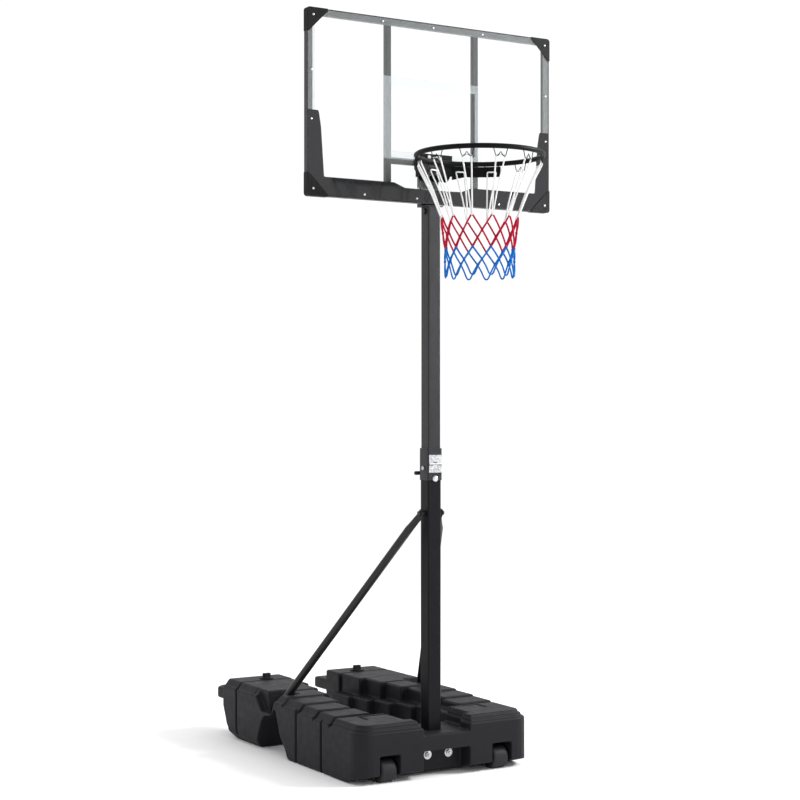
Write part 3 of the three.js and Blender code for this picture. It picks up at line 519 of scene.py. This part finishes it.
def board_prints():
    """The dark corner panels, the pale target box and the border round the sheet."""
    y = PANEL_LOW.y - 0.0001
    foot = PANEL_LOW.z + 0.0005
    edge = PANEL_HIGH.x - 0.0005
    for side, label in ((-1, "left"), (1, "right")):
        corner = [(0.0, foot), (edge, foot), (edge, CORNER_TOP), (0.513, CORNER_TOP),
                  (0.508, 2.540), (0.4985, 2.482), (0.4985, 2.480), (0.486, 2.300),
                  (0.483, 2.296), (0.178, 2.296), (0.130, 2.278), (0.0, 2.276)]
        outline = mirrored(corner, side)
        thin_print(f"dark_print_{label}", outline, y, PRINT, DARK_INK, "upper")
    outer, low, high, stripe = 0.2275, 2.386, 2.7045, 0.033
    target = {
        "target_top": rectangle(-outer, high - stripe, outer, high),
        "target_bottom": rectangle(-outer, low, outer, low + stripe),
        "target_left": rectangle(-outer, low + stripe, -outer + stripe, high - stripe),
        "target_right": rectangle(outer - stripe, low + stripe, outer, high - stripe),
    }
    for name, outline in target.items():
        thin_print(name, outline, y, PRINT, PALE_INK, "upper")
    band = 0.028
    top = PANEL_HIGH.z - 0.0005
    border = {
        "border_top": rectangle(-edge, top - band, edge, top),
        "border_left": rectangle(-edge, BORDER_FOOT, -edge + band, top - band),
        "border_right": rectangle(edge - band, BORDER_FOOT, edge, top - band),
    }
    for name, outline in border.items():
        thin_print(name, outline, y, PRINT, BORDER_INK, "upper")


SCREW_HEAD = 0.0045


def pan_screw(name, x, z, y):
    """A pan-head screw facing -Y."""
    profile = [(SCREW_HEAD, 0), (SCREW_HEAD, 0.0008), (SCREW_HEAD * 0.86, 0.0018),
               (SCREW_HEAD * 0.5, 0.0024), (SCREW_HEAD * 0.16, 0.0025)]
    points, faces = lathe(profile, 16)
    turned = [(x + px, y - pz, z + py) for px, py, pz in points]
    smooth(new_piece(name, turned, faces, ZINC, "upper"))


def board_screws():
    """Screws through the sheet into the frame, and through the corner guards."""
    y = PANEL_LOW.y - 0.0004
    places = [(x, 2.9125) for x in (-0.23, 0.0, 0.23)]
    places += [(s * (PANEL_HIGH.x - 0.0145), z) for s in (-1, 1) for z in (2.696, 2.511)]
    places += [(x, 2.240) for x in (-0.31, -0.076, 0.076, 0.31)]
    for i, (x, z) in enumerate(places):
        pan_screw(f"board_screw_{i + 1}", x, z, y)
    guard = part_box("corner_guard_upper_left")[0].y
    corners = [(s * (PANEL_HIGH.x - 0.021), z) for s in (-1, 1) for z in (2.249, 2.902)]
    for i, (x, z) in enumerate(corners):
        pan_screw(f"guard_screw_{i + 1}", x, z, guard)


# ------------------------------------------------------------ net

LOOPS = 12
# The cords' radii in metres, and the two sizes of knot.
WHITE_RADIUS, COLOUR_RADIUS, FRINGE_RADIUS = 0.0029, 0.0035, 0.0032
KNOT, SMALL_KNOT = 0.0052, 0.0050
# The half angle that a white loop spans on its hook, and the hook's distance from the middle.
HOOK_SPAN = 0.0706
HOOK_RADIUS = 0.2345


def on_ring(angle, radius, z):
    """A point at an angle round the rim's axis."""
    return Vector((radius * math.cos(angle), RIM_Y + radius * math.sin(angle), z))


def knotted_net():
    """Twelve white loops on the hooks, then red and blue diamonds and a blue fringe."""
    white, red, blue = Tubes(), Tubes(), Tubes()
    step = 2 * math.pi / LOOPS
    hook_z = RIM_LOW.z + 0.007
    rows = {"A": (0.147, 2.138), "B": (0.138, 2.079), "C": (0.131, 2.018), "D": (0.130, 1.972),
            "E": (0.131, NET_FOOT + 0.022)}

    def at(row, index):
        """A knot's place in its row."""
        radius, z = rows[row]
        return on_ring((index + 0.5) * step, radius, z)

    for i in range(LOOPS):
        middle = (i + 0.5) * step
        left, right = middle - HOOK_SPAN, middle + HOOK_SPAN
        stops = [on_ring(middle - 0.012, *rows["A"]),
                 on_ring(middle - 0.045, 0.186, 2.235),
                 on_ring(left, HOOK_RADIUS - 0.002, hook_z - 0.012),
                 on_ring(left + 0.01, HOOK_RADIUS, hook_z),
                 on_ring(middle, HOOK_RADIUS, hook_z + 0.0005),
                 on_ring(right - 0.01, HOOK_RADIUS, hook_z),
                 on_ring(right, HOOK_RADIUS - 0.002, hook_z - 0.012),
                 on_ring(middle + 0.045, 0.186, 2.235),
                 on_ring(middle + 0.012, *rows["A"])]
        white.add(curve_points(stops, 6), WHITE_RADIUS)
        outward = Vector((math.cos(middle), math.sin(middle), 0))
        white.knot(at("A", i), KNOT, outward)
        for row, lower, tubes in (("A", "B", red), ("B", "C", red), ("C", "D", blue)):
            shift = 0 if row in "AC" else 0.5
            for way in (-0.5, 0.5):
                first, last = at(row, i + shift), at(lower, i + shift + way)
                middle_point = (first + last) / 2
                away = Vector((middle_point.x, middle_point.y - RIM_Y, 0)).normalized()
                bow = middle_point + away * 0.002
                tubes.add(curve_points([first, bow, last], 5), COLOUR_RADIUS)
        half = (i + 1) * step
        half_out = Vector((math.cos(half), math.sin(half), 0))
        red.knot(at("B", i + 0.5), SMALL_KNOT, half_out)
        blue.knot(at("C", i), KNOT, outward)
        blue.knot(at("D", i + 0.5), SMALL_KNOT, half_out)
        radius, z = rows["E"]
        first, last = at("D", i - 0.5), at("D", i + 0.5)
        loop = [first, on_ring(middle - step * 0.28, radius, z + 0.030),
                on_ring(middle - step * 0.12, radius, z + 0.006), on_ring(middle, radius, z),
                on_ring(middle + step * 0.12, radius, z + 0.006),
                on_ring(middle + step * 0.28, radius, z + 0.030), last]
        blue.add(curve_points(loop, 5), FRINGE_RADIUS)
    pieces = [white.piece("net_white", WHITE_CORD, "upper", "net_cord"),
              red.piece("net_red", RED_CORD, "upper", "net_cord"),
              blue.piece("net_blue", BLUE_CORD, "upper", "net_cord")]
    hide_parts("net")


# ------------------------------------------------------------ threads on the anchor bolts


def anchor_threads():
    """A helical thread on each anchor bolt's free end."""
    for label in ("left", "right"):
        low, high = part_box(f"anchor_bolt_{label}")
        x, z = (low.x + high.x) / 2, (low.z + high.z) / 2
        tubes = Tubes()
        line, pitch, radius, steps = [], 0.0015, 0.0052, 14
        start = low.y + 0.001
        turns = int(0.0345 / pitch)
        for k in range(turns * steps + 1):
            angle = k / steps * 2 * math.pi
            line.append(Vector((x + radius * math.cos(angle), start + k / steps * pitch,
                                z + radius * math.sin(angle))))
        tubes.add(line, 0.0005, 5)
        tubes.piece(f"anchor_thread_{label}", ZINC, "stand", "zinc")


# ------------------------------------------------------------ stage, lights and camera

FLOOR_HALF = 40
WORLD_STRENGTH = 1.04


def make_floor():
    """A wide white floor at the ground's height."""
    mesh = bpy.data.meshes.new("floor")
    corners = [(x, y, 0) for x, y in rectangle(-FLOOR_HALF, -FLOOR_HALF, FLOOR_HALF, FLOOR_HALF)]
    mesh.from_pydata(corners, [], [(0, 1, 2, 3)])
    floor = bpy.data.objects.new("floor", mesh)
    bpy.context.scene.collection.objects.link(floor)
    mesh.materials.append(studio_floor("floor"))


def area_light(name, place, target, size, power):
    """A round area light at a place, turned to a target; power in watts."""
    lamp = bpy.data.lights.new(name, "AREA")
    lamp.shape = "DISK"
    lamp.size = size
    lamp.energy = power
    light = bpy.data.objects.new(name, lamp)
    bpy.context.scene.collection.objects.link(light)
    light.location = place
    light.rotation_mode = "QUATERNION"
    light.rotation_quaternion = (Vector(target) - Vector(place)).to_track_quat("-Z", "Y")
    return lamp


def make_lights():
    """A white surround, a key light from the right and two weak ones."""
    world = bpy.data.worlds.new("studio")
    world.use_nodes = True
    background = world.node_tree.nodes["Background"]
    background.inputs["Color"].default_value = (1, 1, 1, 1)
    background.inputs["Strength"].default_value = WORLD_STRENGTH
    bpy.context.scene.world = world
    area_light("key", (5.0, -2.8, 4.1), (0, 0, 0.9), 2.0, 430)
    upper = area_light("upper", (5.2, -4.0, 3.0), (0, -0.3, 1.65), 1.0, 4)
    area_light("front", (1.6, -7.0, 0.8), (0, 0, 0.2), 2.0, 22)
    upper.spread = math.radians(24)


def make_camera():
    """The photo's view: from the front and left, level with the pole's middle."""
    data = bpy.data.cameras.new("camera")
    data.lens = 76.5
    data.sensor_width = 36
    data.shift_y = 0.013
    camera = bpy.data.objects.new("camera", data)
    bpy.context.scene.collection.objects.link(camera)
    camera.location = (-3.54, -5.953, 1.415)
    camera.rotation_euler = (math.radians(90), 0, math.radians(-31))
    bpy.context.scene.camera = camera


make_camera()
make_lights()
make_floor()
dress_nodes()
soften_tank()
round_edges()
board_prints()
board_screws()
knotted_net()
anchor_threads()
bpy.context.scene.view_settings.view_transform = "Standard"
